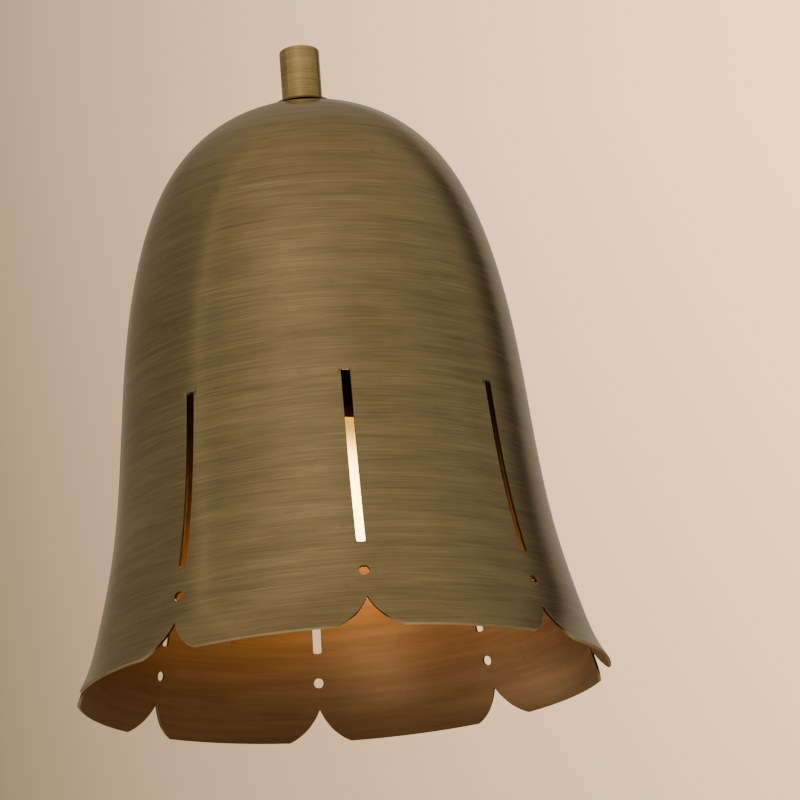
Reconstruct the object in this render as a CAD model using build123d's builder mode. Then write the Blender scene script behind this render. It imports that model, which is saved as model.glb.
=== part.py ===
from build123d import *
from math import atan2, cos, radians, sin, tan
import os

# A wall light whose bell-shaped brass shade hangs from the end of a swan-neck arm.
# Millimetres, +Z up. The wall is the plane y = 0, the origin is the middle of the
# round backplate on that plane, and the light stands out towards -Y.

# ---- placing ---------------------------------------------------------------
reach = 120.0               # wall to the shade's upright axis
shade_top = 60.0            # flat top of the shade above the backplate's middle

# ---- shade -----------------------------------------------------------------
sheet = 1.0                 # wall of the spun shade
seat_radius = 10.0          # flat seat at the very top
petal_count = 8
bell_outline = [            # (drop below the top, outer radius)
    (1.9, 17.7),
    (4.0, 23.7),
    (18.0, 42.4),
    (48.0, 57.1),
    (100.0, 66.0),
    (150.0, 71.9),
    (178.0, 78.6),
    (187.0, 81.4),
    (192.0, 83.6),
]
rim_drop = 196.4            # lower edge of the petals
rim_radius = 86.1
inside_steps = 16           # points that carry the inside curve one sheet away from the outside
notch_drop = 186.3          # sharp upper end of the notch between two petals
notch_bow = (4.4, 6.2)      # two points of the petal's round corner, from the notch's top:
notch_end = (14.6, 11.1)    # one on the corner and one just past the lower edge
slot_top = 110.0
slot_bottom = 168.0
slot_width = 2.9
slot_corner = 0.7
pin_hole_drop = 177.7
pin_hole_radius = 1.65

# ---- hub, ring and pipe above and in the shade -------------------------------
ring_radius = 10.0
ring_flange = 0.6
ring_edge = 0.2
ring_neck_radius = 6.4
ring_neck = 1.8
hub_radius = 6.7
hub_top = 21.7              # above the shade's flat top
hub_edge = 0.8
hub_wire_bore = 3.2
hub_wire_top = 14.0
pipe_radius = 4.8
pipe_bore = 3.2
pipe_engagement = 3.1       # length of pipe screwed into the hub
pipe_length = 57.5
thread_gap = 0.05           # radial gap that stands for a thread
dome_washer_radius = 9.5
dome_washer_thick = 1.2
pipe_nut_flats = 14.0
pipe_nut_thick = 4.0

# ---- arm -------------------------------------------------------------------
arm_radius = 3.5
arm_bore = 2.5
arm_height = 9.2            # middle of the arm above the shade's flat top
arm_seat = 1.6              # depth of the arm's socket in the hub
arm_upper_corner = 44.5     # corner points of the swan neck, behind the shade's axis
arm_lower_corner = 69.0
arm_upper_share = 0.856     # shares of the level lengths that are bent; the rest stays straight
arm_lower_share = 0.724

# ---- backplate and what fixes it ---------------------------------------------
plate_radius = 50.0
plate_depth = 24.0
plate_wall = 1.2
plate_edge = 11.0
nipple_behind = 8.5         # nipple's length behind the inside of the plate
plate_washer_radius = 9.0
plate_washer_thick = 1.0
collar_radius = 12.0
collar_flange = 3.0
collar_neck_radius = 6.2
collar_length = 12.0
collar_neck_seat = 4.5      # arm's length inside the collar
collar_round = 1.2
collar_sweep = 2.4
crossbar_margin = 4.0       # crossbar beyond each box slot
crossbar_width = 16.0
crossbar_thick = 2.0
crossbar_corner = 4.8
box_screw_spacing = 70.0
box_slot_length = 10.0
box_slot_width = 4.4
stud_spacing = 46.0
stud_radius = 2.0
stud_gap = 0.3              # the backplate slips over the studs
stud_nut_flats = 7.0
stud_nut_thick = 3.2
cap_nut_radius = 5.0
cap_nut_height = 7.4
cap_nut_round = 3.75
cap_nut_bore = 4.6
stud_grip = 3.9             # stud's length inside the cap nut
earth_screw_place = 10.0
earth_screw_radius = 1.75
earth_head_radius = 3.4
earth_head_height = 2.2
earth_head_round = 0.88
earth_driver_width = 0.88
earth_driver_depth = 1.1
block_width = 20.0
block_height = 14.0
block_depth = 10.0
block_corner = 1.5
block_drop = 14.0           # top of the terminal block below the nipple's axis
block_hole_radius = 1.4
block_entry = 5.0           # lead's length inside the block
lead_rise = 4.0             # lead's straight length above the block, then its step behind the nipple
lead_step = 6.0

# ---- lamp holder -------------------------------------------------------------
pipe_in_cup = 7.0           # pipe's length below the top of the cup
cup_length = 67.0
cup_radius = 20.0
cup_wall = 0.8
cup_shoulder = 5.0
bridge_length = 30.0
bridge_width = 10.0
bridge_thick = 3.0
bridge_corner = 4.0
bridge_eye_radius = 7.0     # round middle of the bridge around the pipe
holder_screw_spacing = 22.0
holder_screw_radius = 1.5
holder_head_radius = 2.8
holder_head_height = 1.6
holder_screw_depth = 8.0
porcelain_gap = 0.3
porcelain_inset = 15.0      # top of the porcelain below the top of the cup
porcelain_length = 49.5
porcelain_chamfer = 2.0
boss_radius = 4.0
socket_back = 5.0           # porcelain above the socket
socket_flare = 10.5         # height of the flared mouth
socket_mouth_radius = 16.6
shell_wall = 0.5
shell_height = 32.0
clip_size = 5.0
clip_height = 4.0
clip_corner = 0.75
clip_place = 9.0
contact_width = 6.0
contact_thick = 0.5

# ---- bulb --------------------------------------------------------------------
cap_radius = 13.0
cap_gap = 0.35              # bulb cap to screw shell
tip_room = 3.0              # socket's floor to the tip of the seated bulb
tip_radius = 4.7
tip_height = 1.6
tip_round = 1.12
insulator_height = 3.4
insulator_lip = 1.0         # insulator stands out around the tip
cap_cone = 3.0              # cone at the cap's inner end, its height and its step inwards
cap_length = 26.0           # from the tip
cap_wall = 0.4
glass_seat = 2.0            # neck's length inside the cap
glass_wall = 0.9
globe_radius = 22.5
neck_straight = 4.0         # straight neck in front of the cap
neck_drop = 32.0            # end of the straight neck to the globe's middle
stem_radius = 4.0
stem_length = 22.0
stem_end_radius = 2.8
stem_flare = 1.8            # height of the stem's cone under the glass seat
support_radius = 0.4
support_spread = 7.0
support_length = 14.0
support_root = 1.6          # supports leave the stem this far from its middle
coil_sag = 3.5
tip_clearance = 0.3

# ---- inner leads ---------------------------------------------------------------
lead_radius = 0.8
lead_offset = 1.2           # each lead's distance from the middle plane
lead_bend = 2.6
lead_clear = 5.0            # how far the leads stand out behind the nipple before they turn down
bush_bore = 2.3
bush_flange = 0.8
bush_length = 4.0


def drop(depth):
    """Height of a point that lies this far below the shade's flat top."""
    return shade_top - depth


def axis_plane(height):
    """Level plane on the shade's axis."""
    return Plane(origin=(0, -reach, height), x_dir=(1, 0, 0), z_dir=(0, 0, 1))


def wall_plane(distance):
    """Upright plane this far from the wall, looking away from it."""
    return Plane(origin=(0, -distance, 0), x_dir=(1, 0, 0), z_dir=(0, -1, 0))


def meridian(angle):
    """Upright plane through the shade's axis, turned by an angle from the front."""
    turn = radians(angle)
    return Plane(
        origin=(0, -reach, 0),
        x_dir=(cos(turn), sin(turn), 0),
        z_dir=(sin(turn), -cos(turn), 0),
    )


shade_axis = Axis((0, -reach, 0), (0, 0, 1))
plate_axis = Axis((0, 0, 0), (0, -1, 0))
half_plane = Plane(origin=(0, -reach, 0), x_dir=(1, 0, 0), z_dir=(0, -1, 0))
plate_half_plane = Plane(origin=(0, 0, 0), x_dir=(1, 0, 0), z_dir=(0, 0, -1))
plate_front = plate_depth
plate_inside = plate_depth - plate_wall
ring_top = ring_neck + ring_flange

# Drops below the shade's flat top, one from the other, from the pipe down to the globe.
cup_top = pipe_length - ring_top - pipe_engagement - pipe_in_cup
cup_bottom = cup_top + cup_length
porcelain_top = cup_top + porcelain_inset
porcelain_bottom = porcelain_top + porcelain_length
socket_floor = porcelain_top + socket_back
tip_drop = socket_floor + tip_room
cap_bottom = tip_drop + cap_length
neck_end = cap_bottom + neck_straight
globe_drop = neck_end + neck_drop


def washer(plane, radius, bore, thick):
    with BuildPart() as made:
        with BuildSketch(plane):
            Circle(radius)
            Circle(bore, mode=Mode.SUBTRACT)
        extrude(amount=thick)
    return made.part


def hex_nut(plane, flats, bore, thick):
    with BuildPart() as made:
        with BuildSketch(plane):
            RegularPolygon(radius=flats / 2, side_count=6, major_radius=False)
            Circle(bore, mode=Mode.SUBTRACT)
        extrude(amount=thick)
    return made.part


# ---- shade: spun bell with eight petals, slots and pin holes -----------------------
# One petal's width of the bell, with a notch, slot and pin hole in its middle.
petal_angle = 360 / petal_count
with BuildPart() as bell_sector:
    with BuildSketch(meridian(-petal_angle / 2 - 90)):
        with BuildLine():
            outside = Spline(
                [(seat_radius, shade_top)]
                + [(radius, drop(depth)) for depth, radius in bell_outline]
                + [(rim_radius, drop(rim_drop))]
            )
            inside = Spline(
                [
                    outside @ share + (outside % share).rotate(Axis.Z, -90) * sheet
                    for share in [step / inside_steps for step in range(inside_steps + 1)]
                ]
            )
            Polyline(
                inside @ 0,
                (pipe_radius + thread_gap, shade_top - sheet),
                (pipe_radius + thread_gap, shade_top),
                outside @ 0,
            )
            Line(outside @ 1, inside @ 1)
        make_face()
    revolve(axis=shade_axis, revolution_arc=petal_angle)
    with BuildSketch(meridian(0)):
        with BuildLine():
            cusp = (0, drop(notch_drop))
            bow = (notch_bow[0], drop(notch_drop + notch_bow[1]))
            end = (notch_end[0], drop(notch_drop + notch_end[1]))
            below = drop(rim_drop + 4 * sheet)
            ThreePointArc(cusp, bow, end)
            Polyline(end, (notch_end[0], below), (0, below))
            mirror(about=Plane.YZ)
        make_face()
        with Locations((0, drop((slot_top + slot_bottom) / 2))):
            RectangleRounded(slot_width, slot_bottom - slot_top, slot_corner)
        with Locations((0, drop(pin_hole_drop))):
            Circle(pin_hole_radius)
    extrude(amount=rim_radius + 4 * sheet, mode=Mode.SUBTRACT)

with BuildPart() as shade:
    for petal in range(petal_count):
        add(bell_sector.part.rotate(shade_axis, petal * petal_angle))

# ---- ring, hub and pipe ---------------------------------------------------------
with BuildPart() as check_ring:
    with BuildSketch(half_plane):
        with BuildLine():
            Polyline(
                (pipe_radius + thread_gap, shade_top),
                (ring_neck_radius, shade_top),
                (ring_neck_radius, shade_top + ring_neck),
                (ring_radius, shade_top + ring_neck),
                (ring_radius, shade_top + ring_top),
                (pipe_radius + thread_gap, shade_top + ring_top),
                close=True,
            )
        make_face()
    revolve(axis=shade_axis)
    rim_edges = check_ring.edges().filter_by(GeomType.CIRCLE).group_by(SortBy.RADIUS)[-1]
    fillet(rim_edges, radius=ring_edge)

arm_z = shade_top + arm_height
hub_back_plane = Plane(
    origin=(0, -reach + hub_radius - arm_seat, arm_z), x_dir=(1, 0, 0), z_dir=(0, 1, 0)
)
pipe_top = shade_top + ring_top + pipe_engagement
with BuildPart() as hub:
    with BuildSketch(axis_plane(shade_top + ring_top)):
        Circle(hub_radius)
    extrude(amount=hub_top - ring_top)
    fillet(hub.edges().group_by(Axis.Z)[-1], radius=hub_edge)
    with BuildSketch(axis_plane(shade_top + ring_top)):
        Circle(pipe_radius + thread_gap)
    extrude(amount=pipe_engagement, mode=Mode.SUBTRACT)
    with BuildSketch(axis_plane(pipe_top)):
        Circle(hub_wire_bore)
    extrude(amount=shade_top + hub_wire_top - pipe_top, mode=Mode.SUBTRACT)
    with BuildSketch(hub_back_plane):
        Circle(arm_radius)
    extrude(amount=hub_radius, mode=Mode.SUBTRACT)
    with BuildSketch(hub_back_plane):
        Circle(arm_bore)
    extrude(amount=-(hub_radius - arm_seat), mode=Mode.SUBTRACT)

with BuildPart() as shade_pipe:
    with BuildSketch(axis_plane(pipe_top - pipe_length)):
        Circle(pipe_radius)
        Circle(pipe_bore, mode=Mode.SUBTRACT)
    extrude(amount=pipe_length)
pipe_bottom = pipe_top - pipe_length

dome_washer_z = shade_top - sheet - dome_washer_thick
dome_washer = washer(
    axis_plane(dome_washer_z), dome_washer_radius, pipe_radius + thread_gap, dome_washer_thick
)
dome_nut = hex_nut(
    axis_plane(dome_washer_z - pipe_nut_thick), pipe_nut_flats, pipe_radius + thread_gap, pipe_nut_thick
)

# ---- arm: swan neck from the back of the hub to the collar on the backplate ----------
arm_start = -reach + hub_radius - arm_seat
arm_end = -plate_front - collar_length + collar_neck_seat
upper_corner = (-reach + arm_upper_corner, arm_z)
lower_corner = (-reach + arm_lower_corner, 0)
bend_angle = atan2(arm_z, lower_corner[0] - upper_corner[0])
arm_upper_bend = (upper_corner[0] - arm_start) * arm_upper_share / tan(bend_angle / 2)
arm_lower_bend = (arm_end - lower_corner[0]) * arm_lower_share / tan(bend_angle / 2)
with BuildPart() as arm:
    with BuildLine(Plane.YZ):
        FilletPolyline(
            (arm_start, arm_z),
            upper_corner,
            lower_corner,
            (arm_end, 0),
            radius=[arm_upper_bend, arm_lower_bend],
        )
    with BuildSketch(hub_back_plane):
        Circle(arm_radius)
        Circle(arm_bore, mode=Mode.SUBTRACT)
    sweep()

# ---- backplate: spun dish open to the wall ---------------------------------------
with BuildPart() as backplate:
    with BuildSketch(plate_half_plane):
        with BuildLine():
            outer = FilletPolyline(
                (plate_radius, 0),
                (plate_radius, plate_front),
                (pipe_radius + thread_gap, plate_front),
                radius=plate_edge,
            )
            inner = FilletPolyline(
                (plate_radius - plate_wall, 0),
                (plate_radius - plate_wall, plate_inside),
                (pipe_radius + thread_gap, plate_inside),
                radius=plate_edge - plate_wall,
            )
            Line(outer @ 0, inner @ 0)
            Line(outer @ 1, inner @ 1)
        make_face()
    revolve(axis=plate_axis)
    with BuildSketch(wall_plane(plate_front)):
        with GridLocations(stud_spacing, 0, 2, 1):
            Circle(stud_radius + stud_gap)
    extrude(amount=-2 * plate_wall, mode=Mode.SUBTRACT)

# ---- crossbar on the wall, with its studs, nuts and earth screw -------------------
crossbar_length = box_screw_spacing + box_slot_length + 2 * crossbar_margin
with BuildPart() as crossbar:
    with BuildSketch(wall_plane(0)):
        RectangleRounded(crossbar_length, crossbar_width, crossbar_corner)
        with GridLocations(box_screw_spacing, 0, 2, 1):
            SlotOverall(box_slot_length, box_slot_width, mode=Mode.SUBTRACT)
        with GridLocations(stud_spacing, 0, 2, 1):
            Circle(stud_radius + thread_gap, mode=Mode.SUBTRACT)
        with Locations((-earth_screw_place, 0)):
            Circle(earth_screw_radius + thread_gap, mode=Mode.SUBTRACT)
    extrude(amount=crossbar_thick)

stud_length = plate_front + stud_grip
with BuildPart() as fixing_studs:
    with BuildSketch(wall_plane(0)):
        with GridLocations(stud_spacing, 0, 2, 1):
            Circle(stud_radius)
    extrude(amount=stud_length)

with BuildPart() as stud_nuts:
    with BuildSketch(wall_plane(crossbar_thick)):
        with GridLocations(stud_spacing, 0, 2, 1):
            RegularPolygon(radius=stud_nut_flats / 2, side_count=6, major_radius=False)
            Circle(stud_radius + thread_gap, mode=Mode.SUBTRACT)
    extrude(amount=stud_nut_thick)

with BuildPart() as cap_nuts:
    with BuildSketch(wall_plane(plate_front)):
        with GridLocations(stud_spacing, 0, 2, 1):
            Circle(cap_nut_radius)
    extrude(amount=cap_nut_height)
    domes = cap_nuts.edges().group_by(Axis.Y)[0]
    fillet(domes, radius=cap_nut_round)
    with BuildSketch(wall_plane(plate_front)):
        with GridLocations(stud_spacing, 0, 2, 1):
            Circle(stud_radius + thread_gap)
    extrude(amount=cap_nut_bore, mode=Mode.SUBTRACT)

earth_hole = Plane(origin=(-earth_screw_place, 0, 0), x_dir=(1, 0, 0), z_dir=(0, -1, 0))
with BuildPart() as earth_screw:
    with BuildSketch(earth_hole):
        Circle(earth_screw_radius)
    extrude(amount=crossbar_thick)
    with BuildSketch(earth_hole.offset(crossbar_thick)):
        Circle(earth_head_radius)
    extrude(amount=earth_head_height)
    fillet(earth_screw.edges().group_by(Axis.Y)[0], radius=earth_head_round)
    with BuildSketch(earth_hole.offset(crossbar_thick + earth_head_height)):
        Rectangle(2 * earth_head_radius, earth_driver_width)
    extrude(amount=-earth_driver_depth, mode=Mode.SUBTRACT)

# ---- threaded nipple through the backplate, its fixings and the collar --------------
nipple_start = plate_inside - nipple_behind
nipple_end = plate_front + collar_length - collar_neck_seat
with BuildPart() as arm_nipple:
    with BuildSketch(wall_plane(nipple_start)):
        Circle(pipe_radius)
        Circle(pipe_bore, mode=Mode.SUBTRACT)
    extrude(amount=nipple_end - nipple_start)

plate_washer = washer(
    wall_plane(plate_inside - plate_washer_thick),
    plate_washer_radius,
    pipe_radius + thread_gap,
    plate_washer_thick,
)
plate_nut = hex_nut(
    wall_plane(plate_inside - plate_washer_thick - pipe_nut_thick),
    pipe_nut_flats,
    pipe_radius + thread_gap,
    pipe_nut_thick,
)

with BuildPart() as arm_collar:
    with BuildSketch(plate_half_plane):
        with BuildLine():
            flange_top = plate_front + collar_flange
            collar_top = plate_front + collar_length
            Line((pipe_radius + thread_gap, plate_front), (collar_radius, plate_front))
            Line((collar_radius, plate_front), (collar_radius, flange_top - collar_round))
            RadiusArc(
                (collar_radius, flange_top - collar_round),
                (collar_radius - collar_round, flange_top),
                -collar_round,
            )
            Line((collar_radius - collar_round, flange_top), (collar_neck_radius + collar_sweep, flange_top))
            RadiusArc(
                (collar_neck_radius + collar_sweep, flange_top),
                (collar_neck_radius, flange_top + collar_sweep),
                collar_sweep,
            )
            Line((collar_neck_radius, flange_top + collar_sweep), (collar_neck_radius, collar_top))
            Line((collar_neck_radius, collar_top), (arm_radius, collar_top))
            Line((arm_radius, collar_top), (arm_radius, nipple_end))
            Line((arm_radius, nipple_end), (pipe_radius + thread_gap, nipple_end))
            Line((pipe_radius + thread_gap, nipple_end), (pipe_radius + thread_gap, plate_front))
        make_face()
    revolve(axis=plate_axis)
    fillet(arm_collar.edges().group_by(Axis.Y)[0].sort_by(SortBy.RADIUS)[-1], radius=collar_round / 2)

# ---- plastic bushes that save the leads from the pipes' edges -----------------------
def bush(plane):
    with BuildPart() as made:
        with BuildSketch(plane):
            Circle(pipe_radius)
            Circle(bush_bore, mode=Mode.SUBTRACT)
        extrude(amount=bush_flange)
        with BuildSketch(plane):
            Circle(pipe_bore)
            Circle(bush_bore, mode=Mode.SUBTRACT)
        extrude(amount=-bush_length)
    return made.part


nipple_bush = bush(Plane(origin=(0, -nipple_start, 0), x_dir=(1, 0, 0), z_dir=(0, 1, 0)))
pipe_bush = bush(Plane(origin=(0, -reach, pipe_bottom), x_dir=(1, 0, 0), z_dir=(0, 0, -1)))

# ---- terminal block inside the backplate -------------------------------------------
block_top = -block_drop
with BuildPart() as terminal_block:
    with BuildSketch(wall_plane(plate_inside)):
        with Locations((0, block_top - block_height / 2)):
            RectangleRounded(block_width, block_height, block_corner)
            with GridLocations(block_width / 2, 0, 2, 1):
                Circle(block_hole_radius, mode=Mode.SUBTRACT)
    extrude(amount=-block_depth)
    with BuildSketch(Plane(origin=(0, -plate_inside + block_depth / 2, block_top), z_dir=(0, 0, 1))):
        with GridLocations(2 * lead_offset, 0, 2, 1):
            Circle(lead_radius + thread_gap)
    extrude(amount=-block_entry, mode=Mode.SUBTRACT)

# ---- lamp holder: cup, bridge, porcelain, screw shell, contact ------------------------
with BuildPart() as socket_cup:
    with BuildSketch(half_plane):
        with BuildLine():
            outer = FilletPolyline(
                (pipe_radius + thread_gap, drop(cup_top)),
                (cup_radius, drop(cup_top)),
                (cup_radius, drop(cup_bottom)),
                radius=cup_shoulder,
            )
            inner = FilletPolyline(
                (pipe_radius + thread_gap, drop(cup_top + cup_wall)),
                (cup_radius - cup_wall, drop(cup_top + cup_wall)),
                (cup_radius - cup_wall, drop(cup_bottom)),
                radius=cup_shoulder - cup_wall,
            )
            Line(outer @ 0, inner @ 0)
            Line(outer @ 1, inner @ 1)
        make_face()
    revolve(axis=shade_axis)

cup_nut = hex_nut(axis_plane(drop(cup_top)), pipe_nut_flats, pipe_radius + thread_gap, pipe_nut_thick)

bridge_z = drop(cup_top + cup_wall + bridge_thick)
with BuildPart() as holder_bridge:
    with BuildSketch(axis_plane(bridge_z)):
        RectangleRounded(bridge_length, bridge_width, bridge_corner)
        Circle(bridge_eye_radius)
        Circle(pipe_radius + thread_gap, mode=Mode.SUBTRACT)
        with GridLocations(holder_screw_spacing, 0, 2, 1):
            Circle(holder_screw_radius + thread_gap, mode=Mode.SUBTRACT)
    extrude(amount=bridge_thick)
    with BuildSketch(axis_plane(bridge_z + bridge_thick)):
        with GridLocations(holder_screw_spacing, 0, 2, 1):
            Circle(holder_head_radius + thread_gap)
    extrude(amount=-holder_head_height, mode=Mode.SUBTRACT)

porcelain_radius = cup_radius - cup_wall - porcelain_gap
shell_radius = cap_radius + cap_gap
socket_radius = shell_radius + shell_wall
bridge_face = axis_plane(bridge_z)
with BuildPart() as lamp_holder:
    with BuildSketch(half_plane):
        with BuildLine():
            Polyline(
                (0, drop(porcelain_top)),
                (porcelain_radius - porcelain_chamfer, drop(porcelain_top)),
                (porcelain_radius, drop(porcelain_top + porcelain_chamfer)),
                (porcelain_radius, drop(porcelain_bottom)),
                (socket_mouth_radius, drop(porcelain_bottom)),
                (socket_radius, drop(porcelain_bottom - socket_flare)),
                (socket_radius, drop(socket_floor)),
                (0, drop(socket_floor)),
                close=True,
            )
        make_face()
    revolve(axis=shade_axis)
    with BuildSketch(bridge_face):
        with GridLocations(holder_screw_spacing, 0, 2, 1):
            Circle(boss_radius)
    extrude(amount=-(bridge_z - drop(porcelain_top)))
    with BuildSketch(bridge_face):
        with GridLocations(holder_screw_spacing, 0, 2, 1):
            Circle(holder_screw_radius + thread_gap)
    extrude(amount=-holder_screw_depth, mode=Mode.SUBTRACT)

with BuildPart() as holder_screws:
    with BuildSketch(axis_plane(bridge_z + bridge_thick - holder_head_height)):
        with GridLocations(holder_screw_spacing, 0, 2, 1):
            Circle(holder_head_radius)
    extrude(amount=holder_head_height)
    with BuildSketch(axis_plane(bridge_z - holder_screw_depth)):
        with GridLocations(holder_screw_spacing, 0, 2, 1):
            Circle(holder_screw_radius)
    extrude(amount=holder_screw_depth + bridge_thick)

with BuildPart() as screw_shell:
    with BuildSketch(axis_plane(drop(socket_floor + shell_height))):
        Circle(socket_radius - thread_gap)
        Circle(shell_radius, mode=Mode.SUBTRACT)
    extrude(amount=shell_height)

with BuildPart() as terminal_clips:
    with BuildSketch(axis_plane(drop(porcelain_top))):
        with GridLocations(0, 2 * clip_place, 1, 2):
            RectangleRounded(clip_size, clip_size, clip_corner)
    extrude(amount=clip_height)

with BuildPart() as centre_contact:
    with BuildSketch(half_plane):
        with BuildLine():
            tongue_low = drop(tip_drop - tip_clearance)
            tongue_top = drop(socket_floor)
            Polyline(
                (-contact_width, tongue_top),
                (contact_width, tongue_top),
                (contact_width, tongue_top - contact_thick),
                (-contact_width + 2 * contact_thick, tongue_top - contact_thick),
                (-contact_width / 2, tongue_low + contact_thick),
                (contact_width / 2, tongue_low + contact_thick),
                (contact_width / 2, tongue_low),
                (-contact_width / 2 - contact_thick, tongue_low),
                (-contact_width, tongue_top - contact_thick),
                close=True,
            )
        make_face()
    extrude(amount=contact_width / 2, both=True)

# ---- bulb: frosted globe, stem and filament, screw cap ------------------------------
cap_top = tip_drop + tip_height + insulator_height
with BuildPart() as bulb_contact:
    with BuildSketch(axis_plane(drop(tip_drop + tip_height))):
        Circle(tip_radius)
    extrude(amount=tip_height)
    fillet(bulb_contact.edges().group_by(Axis.Z)[-1], radius=tip_round)

with BuildPart() as bulb_insulator:
    with BuildSketch(half_plane):
        with BuildLine():
            Polyline(
                (0, drop(tip_drop + tip_height)),
                (tip_radius + insulator_lip, drop(tip_drop + tip_height)),
                (cap_radius - cap_cone, drop(cap_top)),
                (0, drop(cap_top)),
                close=True,
            )
        make_face()
    revolve(axis=shade_axis)

with BuildPart() as bulb_cap:
    with BuildSketch(half_plane):
        with BuildLine():
            shoulder = cap_top + cap_cone
            Polyline(
                (cap_radius - cap_cone, drop(cap_top)),
                (cap_radius, drop(shoulder)),
                (cap_radius, drop(cap_bottom)),
                (cap_radius - cap_wall, drop(cap_bottom)),
                (cap_radius - cap_wall, drop(shoulder + cap_wall)),
                (cap_radius - cap_cone - cap_wall, drop(cap_top + cap_wall)),
                (0, drop(cap_top + cap_wall)),
                (0, drop(cap_top)),
                close=True,
            )
        make_face()
    revolve(axis=shade_axis)

# The neck's curve touches both the straight neck and the globe.
neck_radius = cap_radius - cap_wall - thread_gap
neck_arc = (neck_radius**2 + neck_drop**2 - globe_radius**2) / (2 * (globe_radius - neck_radius))


def globe_profile(inset):
    """Half outline of the glass, moved inwards by inset."""
    ball = globe_radius - inset
    neck = neck_radius - inset
    bend = neck_arc + inset
    share = ball / (ball + bend)
    touch = ((neck + bend) * share, drop(globe_drop) + neck_drop * share)
    middle_angle = radians(180) - 0.5 * (atan2(neck_drop, neck + bend))
    middle = (
        neck + bend + bend * cos(middle_angle),
        drop(neck_end) - bend * sin(middle_angle),
    )
    Line((neck, drop(cap_bottom - glass_seat)), (neck, drop(neck_end)))
    ThreePointArc((neck, drop(neck_end)), middle, touch)
    ThreePointArc(touch, (ball, drop(globe_drop)), (0, drop(globe_drop) - ball))
    return (neck, drop(cap_bottom - glass_seat))


with BuildPart() as bulb_glass:
    with BuildSketch(half_plane):
        with BuildLine():
            outer_start = globe_profile(0)
            Line(outer_start, (0, outer_start[1]))
            Line((0, outer_start[1]), (0, drop(globe_drop) - globe_radius))
        make_face()
    revolve(axis=shade_axis)
    with BuildSketch(half_plane):
        with BuildLine():
            inner_start = globe_profile(glass_wall)
            Line(inner_start, (0, inner_start[1]))
            Line((0, inner_start[1]), (0, drop(globe_drop) - globe_radius + glass_wall))
        make_face()
    revolve(axis=shade_axis, mode=Mode.SUBTRACT)

stem_top = drop(cap_bottom - glass_seat)
with BuildPart() as bulb_stem:
    with BuildSketch(half_plane):
        with BuildLine():
            Polyline(
                (0, stem_top),
                (neck_radius - glass_wall, stem_top),
                (neck_radius - glass_wall, stem_top - glass_wall),
                (stem_radius, stem_top - glass_wall - stem_flare),
                (stem_end_radius, stem_top - stem_length),
                (0, stem_top - stem_length),
                close=True,
            )
        make_face()
    revolve(axis=shade_axis)

support_top = stem_top - stem_length
support_low = support_top - support_length
with BuildPart() as filament:
    with BuildLine(half_plane):
        Polyline(
            (-support_root, support_top),
            (-support_spread, support_low),
            (0, support_low - coil_sag),
            (support_spread, support_low),
            (support_root, support_top),
        )
    with BuildSketch(axis_plane(support_top)):
        with Locations((-support_root, 0)):
            Circle(support_radius)
    sweep(transition=Transition.ROUND)

# ---- inner leads: terminal block, nipple, arm, hub, pipe, lamp holder -------------------
block_middle = -plate_inside + block_depth / 2
lead_turn = -nipple_start + lead_clear


def lead(side):
    """One lead; side -1 or +1 tells which side of the middle plane it runs on."""
    offset_x = side * lead_offset
    clip_y = -reach + side * (clip_place - clip_size / 2)
    with BuildPart() as made:
        with BuildLine(Plane.YZ.offset(offset_x)):
            path = FilletPolyline(
                (block_middle, block_top - block_entry),
                (block_middle, block_top + lead_rise),
                (lead_turn, block_top + lead_rise + lead_step),
                (lead_turn, 0),
                lower_corner,
                upper_corner,
                (-reach, arm_z),
                (-reach, drop(porcelain_top) + clip_height / 2),
                (clip_y, drop(porcelain_top) + clip_height / 2),
                radius=[lead_bend] * 3 + [arm_lower_bend, arm_upper_bend] + [lead_bend] * 2,
            )
        with BuildSketch(Plane(origin=path @ 0, z_dir=path % 0)):
            Circle(lead_radius)
        sweep()
    return made.part


live_lead = lead(-1)
neutral_lead = lead(1)

# ---- write every piece ----------------------------------------------------------------
os.makedirs("parts", exist_ok=True)
pieces = {
    "shade": shade.part,
    "check_ring": check_ring.part,
    "hub": hub.part,
    "shade_pipe": shade_pipe.part,
    "dome_washer": dome_washer,
    "dome_nut": dome_nut,
    "arm": arm.part,
    "arm_collar": arm_collar.part,
    "arm_nipple": arm_nipple.part,
    "nipple_bush": nipple_bush,
    "plate_washer": plate_washer,
    "plate_nut": plate_nut,
    "backplate": backplate.part,
    "crossbar": crossbar.part,
    "fixing_studs": fixing_studs.part,
    "stud_nuts": stud_nuts.part,
    "cap_nuts": cap_nuts.part,
    "earth_screw": earth_screw.part,
    "terminal_block": terminal_block.part,
    "live_lead": live_lead,
    "neutral_lead": neutral_lead,
    "pipe_bush": pipe_bush,
    "cup_nut": cup_nut,
    "socket_cup": socket_cup.part,
    "holder_bridge": holder_bridge.part,
    "holder_screws": holder_screws.part,
    "terminal_clips": terminal_clips.part,
    "lamp_holder": lamp_holder.part,
    "screw_shell": screw_shell.part,
    "centre_contact": centre_contact.part,
    "bulb_contact": bulb_contact.part,
    "bulb_insulator": bulb_insulator.part,
    "bulb_cap": bulb_cap.part,
    "bulb_glass": bulb_glass.part,
    "bulb_stem": bulb_stem.part,
    "filament": filament.part,
}
for name, piece in pieces.items():
    piece.label = name
    export_step(piece, f"parts/{name}.step")
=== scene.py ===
from math import asin, atan2, cos, hypot, pi, radians, sin, tan

import bmesh
import bpy
import numpy as np
from mathutils import Matrix, Vector
from mathutils.geometry import delaunay_2d_cdt


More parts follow.
